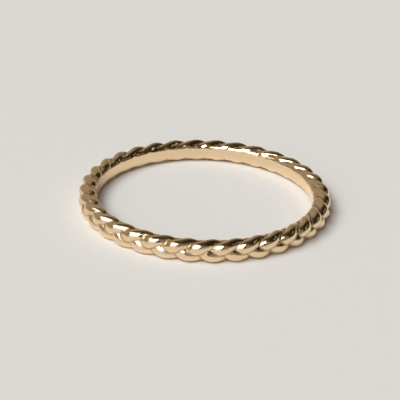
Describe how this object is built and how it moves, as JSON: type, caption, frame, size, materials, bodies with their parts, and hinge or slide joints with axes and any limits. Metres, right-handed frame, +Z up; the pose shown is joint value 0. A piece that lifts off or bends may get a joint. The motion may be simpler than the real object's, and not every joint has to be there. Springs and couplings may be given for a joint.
{
  "type": "plaited leaf-pattern band ring",
  "caption": "Slim polished gold band ring: a smooth finger hole inside, and outside a low plait whose crossings look like overlapping leaves.",
  "frame": {"origin": "centre of the finger hole at the height of the surface the ring lies on", "axes": "+Z up along the finger hole's axis, +Y away from the camera's side, +X to the right"},
  "size_m": [0.0202, 0.0202, 0.0017],
  "materials": {
    "gold": "polished"
  },
  "bodies": {
    "root": {"leaf_band": "gold"}
  },
  "joints": []
}
